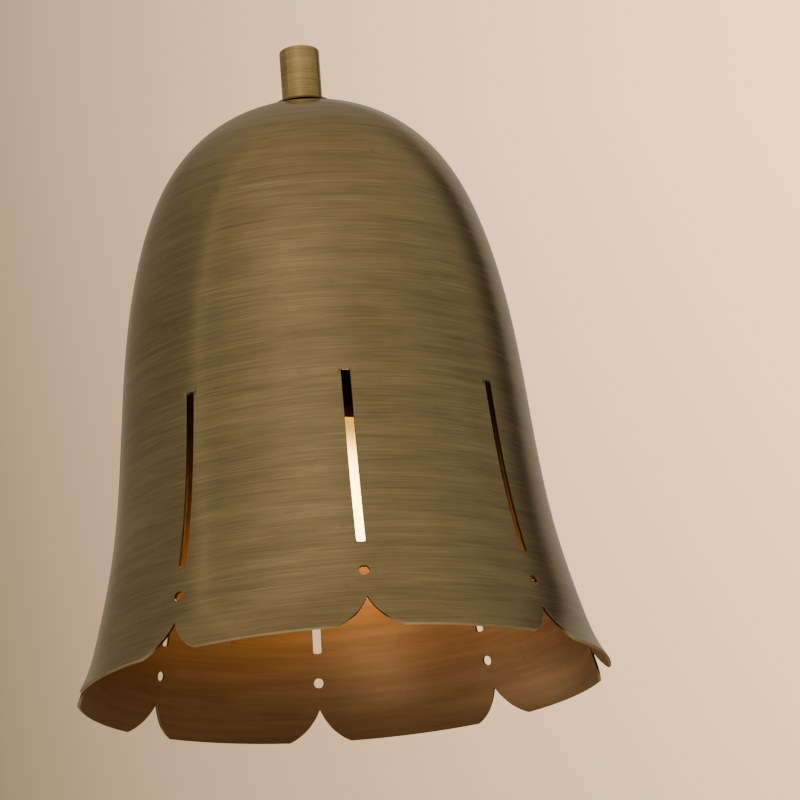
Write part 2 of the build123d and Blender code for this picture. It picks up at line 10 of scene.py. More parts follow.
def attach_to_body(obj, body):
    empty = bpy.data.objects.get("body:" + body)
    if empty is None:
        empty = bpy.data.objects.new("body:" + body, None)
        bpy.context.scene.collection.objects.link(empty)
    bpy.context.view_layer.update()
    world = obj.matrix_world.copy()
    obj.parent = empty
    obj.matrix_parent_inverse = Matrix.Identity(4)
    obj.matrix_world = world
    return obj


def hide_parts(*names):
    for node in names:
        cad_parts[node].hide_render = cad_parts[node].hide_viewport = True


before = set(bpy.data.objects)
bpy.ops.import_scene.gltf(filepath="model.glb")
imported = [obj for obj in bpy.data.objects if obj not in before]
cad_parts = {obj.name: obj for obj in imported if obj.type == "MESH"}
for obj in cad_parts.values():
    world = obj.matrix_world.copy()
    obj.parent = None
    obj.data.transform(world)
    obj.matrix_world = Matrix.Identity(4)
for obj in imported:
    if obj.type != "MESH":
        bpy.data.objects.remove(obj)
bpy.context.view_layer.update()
mm = 0.001
print("frame loaded:", len(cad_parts), "nodes")

reach = 120 * mm      # wall to the shade's upright axis
shadeTop = 60 * mm      # flat top of the bell
shadePlace = (0, -reach, shadeTop)      # heights of the upright pieces count from the bell's flat top
wallPlace = (0, 0, 0)      # depths of the wall pieces count from the wall
roundAngle = 40      # faces that meet flatter than this, in degrees, look round


# meshes
def smoothByAngle(mesh, degrees):
    tools = bmesh.new()
    tools.from_mesh(mesh)
    for face in tools.faces:
        face.smooth = True
    for edge in tools.edges:
        edge.smooth = not (len(edge.link_faces) == 2 and edge.calc_face_angle() > radians(degrees))
    tools.to_mesh(mesh)
    tools.free()


def attach(obj, body, node):
    # rides on a body and stands for a CAD node
    bpy.context.scene.collection.objects.link(obj)
    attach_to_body(obj, body)
    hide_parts(node)


def pieceFrom(name, verts, faces, body, node, finishes, place, smoothAngle=roundAngle, probeFace=0):
    # probeFace: on an open sheet, a face that has to look away from the origin
    mesh = bpy.data.meshes.new(name)
    mesh.from_pydata([tuple(v) for v in verts], [], faces)
    mesh.validate()
    tools = bmesh.new()
    tools.from_mesh(mesh)
    bmesh.ops.remove_doubles(tools, verts=tools.verts, dist=0.002 * mm)
    bmesh.ops.recalc_face_normals(tools, faces=tools.faces)
    if probeFace:
        tools.faces.ensure_lookup_table()
        probe = tools.faces[probeFace]
        if probe.normal.dot(probe.calc_center_median()) < 0:
            bmesh.ops.reverse_faces(tools, faces=tools.faces)
    tools.to_mesh(mesh)
    tools.free()
    smoothByAngle(mesh, smoothAngle)
    obj = bpy.data.objects.new(name, mesh)
    obj.location = place
    for finish in finishes:
        mesh.materials.append(materials[finish])
    attach(obj, body, node)
    return obj


def roundEdges(obj, name, width, segments, degrees):
    bevel = obj.modifiers.new(name, "BEVEL")
    bevel.width = width * mm
    bevel.segments = segments
    bevel.limit_method = "ANGLE"
    bevel.angle_limit = radians(degrees)
    bevel.harden_normals = True
    return bevel


def arcPoints(centre, radius, startDegrees, endDegrees, count):
    turns = [radians(startDegrees + (endDegrees - startDegrees) * step / count) for step in range(count + 1)]
    return [(centre[0] + radius * cos(turn), centre[1] + radius * sin(turn)) for turn in turns]


def smoothLine(points, count):
    # natural cubic spline through the points, by chord length, as count + 1 even points
    points = np.array(points, float)
    chord = np.concatenate([[0], np.cumsum(np.hypot(*np.diff(points, axis=0).T))])
    gaps = np.diff(chord)
    size = len(points)
    system, right = np.zeros((size, size)), np.zeros((size, 2))
    system[0, 0] = system[-1, -1] = 1
    for row in range(1, size - 1):
        system[row, row - 1:row + 2] = gaps[row - 1], 2 * (gaps[row - 1] + gaps[row]), gaps[row]
        slopes = (points[row + 1] - points[row]) / gaps[row] - (points[row] - points[row - 1]) / gaps[row - 1]
        right[row] = 6 * slopes
    bend = np.linalg.solve(system, right)

    def at(value):
        span = min(max(int(np.searchsorted(chord, value)) - 1, 0), size - 2)
        low, high, gap = value - chord[span], chord[span + 1] - value, gaps[span]
        return (
            bend[span] * high**3 / (6 * gap) + bend[span + 1] * low**3 / (6 * gap)
            + (points[span] / gap - bend[span] * gap / 6) * high
            + (points[span + 1] / gap - bend[span + 1] * gap / 6) * low
        )

    fine = np.array([at(value) for value in np.linspace(0, chord[-1], 1200)])
    run = np.concatenate([[0], np.cumsum(np.hypot(*np.diff(fine, axis=0).T))])
    even = np.linspace(0, run[-1], count + 1)
    return np.stack([np.interp(even, run, fine[:, 0]), np.interp(even, run, fine[:, 1])], -1)


# materials
def newMaterial(name, viewColour):
    material = bpy.data.materials.new(name)
    material.use_nodes = True
    material.diffuse_color = (*viewColour, 1)
    tree = material.node_tree
    return material, tree, tree.nodes["Principled BSDF"]


def ramp(tree, source, stops):
    # stops are (place, colour), where one number is a grey
    node = tree.nodes.new("ShaderNodeValToRGB")
    while len(node.color_ramp.elements) < len(stops):
        node.color_ramp.elements.new(0.5)
    for element, (place, colour) in zip(node.color_ramp.elements, stops):
        element.position = place
        element.color = (*(colour if isinstance(colour, tuple) else (colour,) * 3), 1)
    tree.links.new(source, node.inputs[0])
    return node.outputs[0]


def noise(tree, vector, scale, detail, rough):
    node = tree.nodes.new("ShaderNodeTexNoise")
    node.inputs["Scale"].default_value = scale
    node.inputs["Detail"].default_value = detail
    node.inputs["Roughness"].default_value = rough
    tree.links.new(vector, node.inputs["Vector"])
    return node.outputs[0]


def mathNode(tree, operation, *values):
    node = tree.nodes.new("ShaderNodeMath")
    node.operation = operation
    for place, value in enumerate(values):
        if isinstance(value, (int, float)):
            node.inputs[place].default_value = value
        else:
            tree.links.new(value, node.inputs[place])
    return node.outputs[0]


def axes(tree, vector):
    parts = tree.nodes.new("ShaderNodeSeparateXYZ")
    tree.links.new(vector, parts.inputs[0])
    return parts.outputs


def mixColour(tree, share, first, second, blend="MIX"):
    node = tree.nodes.new("ShaderNodeMix")
    node.data_type = "RGBA"
    node.blend_type = blend
    for socket, value in ((node.inputs[0], share), (node.inputs[6], first), (node.inputs[7], second)):
        if isinstance(value, (int, float)):
            socket.default_value = value
        elif isinstance(value, tuple):
            socket.default_value = (*value, 1)
        else:
            tree.links.new(value, socket)
    return node.outputs[2]


def addBump(tree, shader, height, strength, distance):
    bump = tree.nodes.new("ShaderNodeBump")
    bump.inputs["Strength"].default_value = strength
    bump.inputs["Distance"].default_value = distance
    tree.links.new(height, bump.inputs["Height"])
    tree.links.new(bump.outputs[0], shader.inputs["Normal"])


def turnedCoords(tree, upright):
    # coordinates that run fast across the scratches of a turned or spun piece, slow along them
    place = tree.nodes.new("ShaderNodeTexCoord").outputs["Object"]
    x, y, z = axes(tree, place)
    axisHeight, sideways = (z, y) if upright else (y, z)
    square = mathNode(tree, "ADD", mathNode(tree, "MULTIPLY", x, x),
                      mathNode(tree, "MULTIPLY", sideways, sideways))
    radius = mathNode(tree, "SQRT", square)
    across = mathNode(tree, "SUBTRACT", radius, axisHeight)
    return place, x, sideways, across


def paintedLightByHeight(tree, place, stops):
    # a colour share that changes with the height in the piece: painted light and painted shade by height
    span = tree.nodes.new("ShaderNodeMapRange")
    low, high = stops[0][0], stops[-1][0]
    span.inputs["From Min"].default_value = low * mm
    span.inputs["From Max"].default_value = high * mm
    tree.links.new(axes(tree, place)[2], span.inputs["Value"])
    shares = [((height - low) / (high - low), paintedLight) for height, paintedLight in stops]
    return ramp(tree, span.outputs[0], shares)


def brushedBrass(name, look):
    material, tree, shader = newMaterial(name, look["base"])
    place, x, sideways, across = turnedCoords(tree, look["upright"])

    def stretched(along, acrossScale):
        join = tree.nodes.new("ShaderNodeCombineXYZ")
        for socket, source, scale in zip(join.inputs, (x, sideways, across), (along, along, acrossScale)):
            tree.links.new(mathNode(tree, "MULTIPLY", source, scale), socket)
        return join.outputs[0]

    scratches = noise(tree, stretched(look["along"], look["across"]), 1.0, 3, 0.65)
    bands = noise(tree, stretched(look["along"] * 0.5, look["across"] * 0.12), 1.0, 3, 0.6)
    patina = noise(tree, place, look["patinaScale"], 5, 0.62)
    specks = noise(tree, place, look["patinaScale"] * 14, 3, 0.7)
    patinaShare = ramp(tree, patina, [(0.38, 0), (0.72, 1)])
    aged = mixColour(tree, patinaShare, look["base"], look["aged"])
    streakShare = ramp(tree, scratches, [(0.3, 0), (0.75, 1)])
    streaked = mixColour(tree, streakShare, look["streakDark"], look["streakLight"])
    toned = mixColour(tree, look["streakShare"], aged, streaked, "OVERLAY")
    bandShare = ramp(tree, bands, [(0.34, 0.78), (0.66, 1)])
    banded = mixColour(tree, bandShare, (0, 0, 0), toned)
    speckShare = ramp(tree, specks, [(0.62, 0), (0.8, 0.35)])
    spotted = mixColour(tree, speckShare, banded, look["spot"])
    # painted light and shade by height, multiplied into the colour
    if "paintedLightByHeight" in look:
        paintedLight = paintedLightByHeight(tree, place, look["paintedLightByHeight"])
        spotted = mixColour(tree, 1.0, spotted, paintedLight, "MULTIPLY")
    tree.links.new(spotted, shader.inputs["Base Color"])
    shader.inputs["Metallic"].default_value = 1.0
    rough = mathNode(tree, "MULTIPLY_ADD", scratches, look["roughSpread"], look["rough"])
    roughPatina = mathNode(tree, "MULTIPLY_ADD", patina, look["roughSpread"] * 0.5, rough)
    tree.links.new(roughPatina, shader.inputs["Roughness"])
    shader.inputs["Anisotropic"].default_value = look["anisotropic"]
    if look["anisotropic"]:
        tangent = tree.nodes.new("ShaderNodeTangent")
        tangent.direction_type = "RADIAL"
        tangent.axis = "Z" if look["upright"] else "Y"
        tree.links.new(tangent.outputs[0], shader.inputs["Tangent"])
    addBump(tree, shader, scratches, look["bump"], look["bumpDepth"])
    return material


def simpleMaterial(name, look):
    # plastic, ceramic, steel and painted pieces: mottled colour and roughness, fine bump
    material, tree, shader = newMaterial(name, look["base"])
    coords = tree.nodes.new("ShaderNodeTexCoord").outputs["Object"]
    mottle = noise(tree, coords, look["scale"], 4, 0.6)
    fine = noise(tree, coords, look["scale"] * 9, 3, 0.6)
    share = ramp(tree, mottle, [(0.35, 0), (0.7, 1)])
    tree.links.new(mixColour(tree, share, look["base"], look["second"]), shader.inputs["Base Color"])
    shader.inputs["Metallic"].default_value = look.get("metal", 0.0)
    roughSpread = 0.12
    rough = mathNode(tree, "MULTIPLY_ADD", fine, roughSpread, look["rough"])
    tree.links.new(rough, shader.inputs["Roughness"])
    if look.get("coat"):
        shader.inputs["Coat Weight"].default_value = look["coat"]
        shader.inputs["Coat Roughness"].default_value = 0.08
    addBump(tree, shader, fine, look.get("bump", 0.12), 0.05 * mm)
    return material


shadeLook = {
    "base": (0.40, 0.30, 0.145), "aged": (0.31, 0.23, 0.11), "spot": (0.17, 0.12, 0.06),
    "streakDark": (0.30, 0.30, 0.30), "streakLight": (0.68, 0.68, 0.68), "streakShare": 0.6,
    "along": 48.0, "across": 2300.0, "patinaScale": 16.0, "rough": 0.09, "roughSpread": 0.12,
    "anisotropic": 0.75, "bump": 0.45, "bumpDepth": 0.03 * mm, "upright": True,
}
# painted light and shade by height: (height from the bell's flat top in mm, share of the colour)
# the bell's inside: painted glow of the bulb around its globe, painted shadow of the socket cup above it,
# painted shade towards the rim; its base is warmer than the outer brass, partly the brass and partly painted
# warm bulb light
insideLook = {
    **shadeLook, "base": (0.60, 0.345, 0.165), "aged": (0.50, 0.285, 0.135), "rough": 0.36,
    "streakShare": 0.2, "bump": 0.15, "anisotropic": 0.3,
    "paintedLightByHeight": [(-200, 0.46), (-183, 0.60), (-163, (0.95, 0.90, 0.86)),
                   (-155, (1.0, 0.82, 0.64)), (-147, (0.84, 0.56, 0.38)), (-138, (0.42, 0.26, 0.18)),
                   (-124, (0.22, 0.15, 0.125)), (-90, (0.32, 0.23, 0.19)), (0, (0.42, 0.31, 0.25))],
}
# worn edges of the sheet: bright at the petal rims, painted shade on the edges higher up
edgeLook = {
    **shadeLook, "base": (0.66, 0.52, 0.30), "aged": (0.50, 0.39, 0.22), "rough": 0.26, "anisotropic": 0.0,
    "paintedLightByHeight": [(-200, 1.0), (-186, 1.0), (-180, (0.30, 0.28, 0.26)), (0, (0.22, 0.20, 0.18))],
}
# cut faces of the sheet: full colour at the rim, painted shade inside the slots, holes and notches above it
cutLook = {
    **shadeLook, "base": (0.70, 0.55, 0.33), "aged": (0.55, 0.43, 0.25), "rough": 0.36, "anisotropic": 0.0,
    "paintedLightByHeight": [(-200, 1.0), (-195, 1.0), (-193.5, (0.13, 0.12, 0.11)), (0, (0.05, 0.045, 0.04))],
}
turnedLook = {**shadeLook, "base": (0.62, 0.45, 0.18), "aged": (0.42, 0.30, 0.12), "across": 3600.0,
              "patinaScale": 60.0, "rough": 0.24, "streakShare": 0.75, "bump": 0.4}
hubLook = {**turnedLook, "rough": 0.13, "roughSpread": 0.10}
# the check ring darker than the other turned brass: painted shade at the foot of the hub
ringLook = {**turnedLook, "base": (0.30, 0.21, 0.08), "aged": (0.20, 0.14, 0.055), "rough": 0.4}
armLook = {**turnedLook, "along": 30.0, "across": 900.0, "anisotropic": 0.0}
collarLook = {**turnedLook, "upright": False}
capNutLook = {**collarLook, "across": 900.0, "anisotropic": 0.0}
plateLook = {**shadeLook, "base": (0.44, 0.32, 0.14), "patinaScale": 22.0, "upright": False}
# the socket cup near black: painted shade inside the bell, where the cup gets light only from the bulb below
cupLook = {**shadeLook, "base": (0.13, 0.09, 0.05), "aged": (0.08, 0.055, 0.03), "rough": 0.36}

brassLooks = {
    "shadeBrass": shadeLook, "insideBrassPaintedLight": insideLook, "edgeBrassWornPaintedShade": edgeLook, "cutBrassPaintedShade": cutLook,
    "hubBrass": hubLook, "ringBrassPaintedShade": ringLook, "armBrass": armLook, "plateBrass": plateLook,
    "collarBrass": collarLook, "capNutBrass": capNutLook, "cupBrassPaintedShade": cupLook,
}
plainLooks = {
    "innerBrass": {"base": (0.66, 0.50, 0.22), "second": (0.50, 0.36, 0.15),
                   "scale": 140, "metal": 1.0, "rough": 0.22, "bump": 0.3},
    "zincSteel": {"base": (0.58, 0.57, 0.53), "second": (0.44, 0.43, 0.38),
                  "scale": 120, "metal": 1.0, "rough": 0.28, "bump": 0.35},
    "nylon": {"base": (0.80, 0.79, 0.74), "second": (0.70, 0.69, 0.63),
              "scale": 90, "rough": 0.45, "bump": 0.1},
    "porcelain": {"base": (0.82, 0.80, 0.74), "second": (0.74, 0.71, 0.64),
                  "scale": 60, "rough": 0.10, "coat": 0.6, "bump": 0.06},
    "brownSleeve": {"base": (0.14, 0.06, 0.03), "second": (0.20, 0.09, 0.04), "scale": 200, "rough": 0.42},
    "blueSleeve": {"base": (0.03, 0.08, 0.32), "second": (0.05, 0.12, 0.40), "scale": 200, "rough": 0.42},
    "earthGreen": {"base": (0.04, 0.20, 0.07), "second": (0.07, 0.28, 0.10),
                   "scale": 300, "metal": 0.8, "rough": 0.30, "bump": 0.3},
    "blackGlass": {"base": (0.010, 0.010, 0.012), "second": (0.03, 0.03, 0.035),
                   "scale": 200, "rough": 0.08, "coat": 0.5},
    "capMetal": {"base": (0.72, 0.70, 0.62), "second": (0.55, 0.52, 0.44),
                 "scale": 160, "metal": 1.0, "rough": 0.25, "bump": 0.3},
    "solder": {"base": (0.62, 0.61, 0.58), "second": (0.45, 0.44, 0.42),
               "scale": 500, "metal": 1.0, "rough": 0.32, "bump": 0.5},
    "tungsten": {"base": (0.26, 0.25, 0.24), "second": (0.36, 0.34, 0.32),
                 "scale": 400, "metal": 1.0, "rough": 0.35},
}

frostLook = {
    "glow": (1.0, 0.72, 0.25), "amber": (1.0, 0.42, 0.0), "strength": 11.5, "base": (0.92, 0.80, 0.58),
    "cloud": (0.98, 0.94, 0.86), "rough": 0.42, "bump": 0.15, "bumpDepth": 0.03 * mm,
    "neckEnd": -110.8 * mm, "litFrom": -136.0 * mm, "neckShare": 0.10,      # the glow grows downwards
}


def frostedGlass():
    material, tree, shader = newMaterial("frostedGlass", (1.0, 0.9, 0.7))
    coords = tree.nodes.new("ShaderNodeTexCoord").outputs["Object"]
    frost = noise(tree, coords, 900, 3, 0.6)
    cloud = noise(tree, coords, 40, 3, 0.6)
    frosted = mixColour(tree, cloud, frostLook["base"], frostLook["cloud"])
    tree.links.new(frosted, shader.inputs["Base Color"])
    rise = tree.nodes.new("ShaderNodeMapRange")
    rise.interpolation_type = "SMOOTHERSTEP"
    rise.inputs["From Min"].default_value = frostLook["neckEnd"]
    rise.inputs["From Max"].default_value = frostLook["litFrom"]
    rise.inputs["To Min"].default_value = frostLook["strength"] * frostLook["neckShare"]
    rise.inputs["To Max"].default_value = frostLook["strength"]
    tree.links.new(axes(tree, coords)[2], rise.inputs["Value"])
    tree.links.new(rise.outputs[0], shader.inputs["Emission Strength"])
    lit = mathNode(tree, "DIVIDE", rise.outputs[0], frostLook["strength"])
    colour = mixColour(tree, lit, frostLook["amber"], frostLook["glow"])
    tree.links.new(colour, shader.inputs["Emission Color"])
    shader.inputs["Roughness"].default_value = frostLook["rough"]
    addBump(tree, shader, frost, frostLook["bump"], frostLook["bumpDepth"])
    return material


materials = {name: brushedBrass(name, look) for name, look in brassLooks.items()}
materials |= {name: simpleMaterial(name, look) for name, look in plainLooks.items()}
materials["frostedGlass"] = frostedGlass()
print("materials made:", len(bpy.data.materials))

# shade: spun bell with eight petals
bell = {
    "outline": [(10, 0), (17.7, 1.9), (23.7, 4), (42.4, 18), (57.1, 48), (66, 100), (71.9, 150),
                (78.6, 178), (81.4, 187), (83.6, 192), (86.1, 196.4)],      # (radius, drop) in mm
    "petals": 8, "sheet": 1.0, "pipeHole": 4.85, "flatRadius": 7.4, "edgeRound": 0.28,
    "notchDrop": 186.3, "notchBow": (4.4, 6.2), "notchEnd": (14.6, 11.1),
    "slotTop": 110, "slotBottom": 168, "slotWidth": 2.9, "slotCorner": 0.7,
    "pinDrop": 177.7, "pinRadius": 1.65,
    # mesh only
    "linePoints": 160, "notchPoints": 28, "columns": 20, "rowStep": 3.2, "joinAbove": 8, "flatScale": 75.0,
    "slotGap": 0.6, "notchGap": 0.8, "edgeGap": 1.1,
}
bellLine = smoothLine(bell["outline"], bell["linePoints"])
joinDrop = bell["slotTop"] - bell["joinAbove"]      # plain rings above it, sectors with a slot below it
rimDrop = bell["outline"][-1][1]
sector = 2 * pi / bell["petals"]


def throughCircle(first, second, third, count):
    # points along the arc through three points
    (ax, ay), (bx, by), (cx, cy) = first, second, third
    a, b, c = ax**2 + ay**2, bx**2 + by**2, cx**2 + cy**2
    divisor = 2 * (ax * (by - cy) + bx * (cy - ay) + cx * (ay - by))
    x = (a * (by - cy) + b * (cy - ay) + c * (ay - by)) / divisor
    y = (a * (cx - bx) + b * (ax - cx) + c * (bx - ax)) / divisor
    radius = hypot(ax - x, ay - y)
    start, end = atan2(ay - y, ax - x), atan2(cy - y, cx - x)
    if end - start > pi:
        end -= 2 * pi
    if start - end > pi:
        end += 2 * pi
    turns = [start + (end - start) * step / count for step in range(count + 1)]
    return [(x + radius * cos(turn), y + radius * sin(turn)) for turn in turns]


def radiusAt(drop):
    return float(np.interp(drop, bellLine[:, 1], bellLine[:, 0]))


def flat(x, drop):
    # a spot of the bell laid flat: angles become millimetres, true where the radius is flatScale
    return (asin(x / radiusAt(drop)) * bell["flatScale"], drop)


def upperRings():
    # outer skin from the pipe's hole down to the join
    rings = [(bell["pipeHole"], 0.0), (bell["flatRadius"], 0.0)]
    rings += [tuple(p) for p in bellLine if p[1] < joinDrop - 1] + [(radiusAt(joinDrop), joinDrop)]
    around = bell["petals"] * bell["columns"]
    verts, faces = [], []
    for radius, drop in rings:
        for step in range(around):
            turn = 2 * pi * (step / around) - sector / 2
            verts.append((radius * sin(turn), -radius * cos(turn), -drop))
    for row in range(len(rings) - 1):
        for step in range(around):
            nextStep = (step + 1) % around
            faces.append((row * around + step, row * around + nextStep,
                          (row + 1) * around + nextStep, (row + 1) * around + step))
    return verts, faces


def notchOutline():
    # right side of a notch between two petals, from its top down to the rim
    top = bell["notchDrop"]
    notch = throughCircle((0, 0), bell["notchBow"], bell["notchEnd"], bell["notchPoints"])
    side = [flat(x, top + y) for x, y in notch if top + y < rimDrop - 0.05]
    rimX = np.interp(rimDrop - top, [y for _, y in notch], [x for x, _ in notch])
    return side + [flat(rimX, rimDrop)]


def sectorOutline(notchSide, half, columnEdges, rowDrops):
    # edge of a sector with its notch in the middle and half a petal on either side
    bottom = [(x, rimDrop) for x in np.linspace(half, notchSide[-1][0], 5)[:-1]]
    loop = [(x, joinDrop) for x in columnEdges] + [(half, drop) for drop in rowDrops]
    loop += bottom + notchSide[::-1]
    loop += [(-x, y) for x, y in notchSide[1:]] + [(-x, y) for x, y in bottom[::-1]]
    return loop + [(-half, drop) for drop in rowDrops[::-1]]


def slotOutline():
    width, corner = bell["slotWidth"] / 2, bell["slotCorner"]
    right, top, bottom = width - corner, bell["slotTop"] + corner, bell["slotBottom"] - corner
    slot = []
    for spot, start in (((right, top), -90), ((right, bottom), 0),
                        ((-right, bottom), 90), ((-right, top), 180)):
        slot += [flat(x, y) for x, y in arcPoints(spot, corner, start, start + 90, 5)]
    return slot


def withRowPoints(hole):
    # more points along the upright sides of a hole
    dense = []
    for n, here in enumerate(hole):
        there = hole[(n + 1) % len(hole)]
        parts = max(1, int(abs(there[1] - here[1]) // bell["rowStep"]))
        dense += [tuple(a + (b - a) * part / parts for a, b in zip(here, there)) for part in range(parts)]
    return dense


def flatSector():
    # points and faces of one sector laid flat, without its slot, pin hole and notch
    half, columns, slotHalf = sector / 2 * bell["flatScale"], bell["columns"], bell["slotWidth"] / 2
    columnEdges = [-half + 2 * half * step / columns for step in range(columns + 1)]
    rowDrops = list(np.arange(joinDrop, rimDrop, bell["rowStep"]))[1:]
    notchSide = notchOutline()
    pin = [flat(x, y) for x, y in arcPoints((0, bell["pinDrop"]), bell["pinRadius"], 0, 345, 23)]
    holes = [withRowPoints(slotOutline()), withRowPoints(pin)]
    points, edges = [], []
    for loop in [sectorOutline(notchSide, half, columnEdges, rowDrops)] + holes:
        first = len(points)
        points += [Vector(p) for p in loop]
        edges += [(first + n, first + (n + 1) % len(loop)) for n in range(len(loop))]
    cutEdges = np.array(holes[0] + holes[1] + notchSide + [(-x, y) for x, y in notchSide])
    for drop in rowDrops:
        notchWidth = np.interp(drop, [y for _, y in notchSide], [x for x, _ in notchSide], left=-1)
        for x in columnEdges[1:-1]:
            near = np.hypot(cutEdges[:, 0] - x, cutEdges[:, 1] - drop).min()
            inSlot = abs(x) < slotHalf + bell["slotGap"] and bell["slotTop"] < drop < bell["slotBottom"]
            inNotch = abs(x) <= notchWidth + bell["notchGap"]
            if near > bell["edgeGap"] and not inSlot and not inNotch and drop < rimDrop - 1:
                points.append(Vector((x, drop)))
    flatVerts, _, flatFaces, *_ = delaunay_2d_cdt(points, edges, [], 2, 1e-5)

    def fillsHole(face):
        spot = sum((flatVerts[n] for n in face), Vector((0, 0))) / len(face)
        inSlot = abs(spot.x) < slotHalf - 0.05 and bell["slotTop"] + 0.05 < spot.y < bell["slotBottom"] - 0.05
        return inSlot or hypot(spot.x, spot.y - bell["pinDrop"]) < bell["pinRadius"] * 0.93
    return flatVerts, [face for face in flatFaces if not fillsHole(face)]


def bellSurface():
    # outer skin of the whole bell, axis at the origin, the flat top at height 0
    verts, faces = upperRings()
    flatVerts, flatFaces = flatSector()
    for petal in range(bell["petals"]):
        first = len(verts)
        for point in flatVerts:
            turn = point.x / bell["flatScale"] + petal * sector
            radius = radiusAt(point.y)
            verts.append((radius * sin(turn), -radius * cos(turn), -point.y))
        faces += [tuple(first + n for n in face) for face in flatFaces]
    return [tuple(c * mm for c in v) for v in verts], faces


def makeShade():
    verts, faces = bellSurface()
    obj = pieceFrom("shadeBell", verts, faces, "fixture", "shade",
                    ["shadeBrass", "insideBrassPaintedLight", "cutBrassPaintedShade", "edgeBrassWornPaintedShade"], shadePlace, probeFace=2000)
    solid = obj.modifiers.new("sheet", "SOLIDIFY")
    solid.thickness = bell["sheet"] * mm
    solid.offset = -1
    solid.use_even_offset = True
    solid.material_offset = 1
    solid.material_offset_rim = 2
    roundEdges(obj, "edgeRound", bell["edgeRound"], 2, 55).material = 3
    return obj


shadeBell = makeShade()
print("shade made:", len(shadeBell.data.polygons), "faces")

# pieces turned, threaded or cut around an axis: heights run up, or away from the wall
onAxis = 0.001      # radius of the points on the axis, in mm


def turnedSurface(profileAt, steps, upright):
    rows = len(profileAt(0))
    verts, faces = [], []
    for step in range(steps):
        turn = 2 * pi * step / steps
        for radius, height in profileAt(turn):
            if upright:
                verts.append((radius * cos(turn) * mm, radius * sin(turn) * mm, height * mm))
            else:
                verts.append((radius * cos(turn) * mm, -height * mm, radius * sin(turn) * mm))
    for step in range(steps):
        here, there = step * rows, (step + 1) % steps * rows
        for row in range(rows):
            above = (row + 1) % rows
            faces.append((here + row, there + row, there + above, here + above))
    return verts, faces


def softened(points, radius):
    # rounds the corners of a closed outline of (radius, height) points
    made, steps = [], 4
    for index, here in enumerate(points):
        here = Vector(here)
        before, after = Vector(points[index - 1]), Vector(points[(index + 1) % len(points)])
        into, out = before - here, after - here
        if into.length < 1e-6 or out.length < 1e-6 or here.x < 0.01:
            made.append(tuple(here))
            continue
        reachIn = min(radius, into.length * 0.45, out.length * 0.45)
        start, end = here + into.normalized() * reachIn, here + out.normalized() * reachIn
        for step in range(steps + 1):
            share = step / steps
            made.append(tuple(start * (1 - share)**2 + here * 2 * share * (1 - share) + end * share**2))
    return made


def turnedForm(name, profileAt, steps, body, node, finish, upright=True, spots=(0,),
               smoothAngle=roundAngle):
    # the turned form at each of the spots across the piece, as one object
    formVerts, formFaces = turnedSurface(profileAt, steps, upright)
    verts, faces = [], []
    for sideways in spots:
        first = len(verts)
        verts += [(x + sideways * mm, y, z) for x, y, z in formVerts]
        faces += [tuple(first + n for n in face) for face in formFaces]
    place = shadePlace if upright else wallPlace
    return pieceFrom(name, verts, faces, body, node, [finish], place, smoothAngle)


def turnedPiece(name, points, edge, body, node, finish, upright=True):
    profile = softened(points, edge)
    turnedForm(name, lambda turn: profile, 72, body, node, finish, upright)


def flatWasher(name, washer, node, upright=True):
    low, high, bore, radius = washer["low"], washer["low"] + washer["thick"], washer["bore"], washer["radius"]
    points = [(bore, low), (radius, low), (radius, high), (bore, high)]
    turnedPiece(name, points, washer["edge"], "fixture", node, "zincSteel", upright)


def hexProfile(nut):
    # outline of a chamfered nut at each turn
    half, thick, chamfer = nut["flats"] / 2, nut["thick"], nut["chamfer"]
    bore, low, high = nut["bore"], nut["low"], nut["low"] + nut["thick"]
    corner = half / cos(pi / 6)
    ease = min(0.3, thick * 0.2)
    levels = (0, 0.15 * chamfer, 0.5 * chamfer, chamfer,
              thick - chamfer, thick - 0.5 * chamfer, thick - 0.15 * chamfer, thick)

    def profileAt(turn):
        side = (turn + pi / 6) % (pi / 3) - pi / 6
        made = []
        for height in levels:
            inset = min(height, thick - height)
            limit = corner - (corner - half + 0.25) * (1 - inset / chamfer) if inset < chamfer else corner
            made.append((min(half / cos(side), limit), low + height))
        return made + [(bore + ease, high), (bore, high - ease), (bore, low + ease), (bore + ease, low)]
    return profileAt


def hexNut(name, nut, node, finish, upright=True, spots=(0,)):
    turnedForm(name, hexProfile(nut), 72, "fixture", node, finish, upright, spots)


def threadWave(height, turn, pitch):
    return 0.5 * cos(2 * pi * (height / pitch - turn / (2 * pi)))


def threadProfile(thread):
    # tube with a single-start outside thread, crest at the outer radius
    low, high, pitch = thread["low"], thread["high"], thread["pitch"]
    rows = int((high - low) / pitch * 6)

    def profileAt(turn):
        made = []
        for row in range(rows + 1):
            height = low + (high - low) * row / rows
            wave = 0.5 + threadWave(height, turn, pitch)
            edge = min(height - low, high - height) / pitch
            crest = thread["radius"] - thread["depth"] * (1 - wave**0.7)
            made.append((min(crest, thread["radius"] - 0.6 * max(0, 1 - edge)), height))
        if thread["bore"] > 0:
            made += [(thread["bore"] + 0.2, high), (thread["bore"], high - 0.2),
                     (thread["bore"], low + 0.2), (thread["bore"] + 0.2, low)]
        else:
            made += [(onAxis, high), (onAxis, low)]
        return made
    return profileAt


def threadedRod(name, thread, node, upright=True, spots=(0,)):
    turnedForm(name, threadProfile(thread), thread["steps"], "fixture", node, "zincSteel",
               upright, spots, thread["smoothAngle"])


ring = {"neck": 6.4, "neckHeight": 1.8, "radius": 10.0, "thick": 0.6, "bore": 4.85, "edge": 0.2}
ringStep, ringTop = ring["neckHeight"], ring["neckHeight"] + ring["thick"]
turnedPiece("checkRing", [
    (ring["bore"], 0), (ring["neck"], 0), (ring["neck"], ringStep), (ring["radius"], ringStep),
    (ring["radius"], ringTop), (ring["bore"], ringTop),
], ring["edge"], "fixture", "check_ring", "ringBrassPaintedShade")

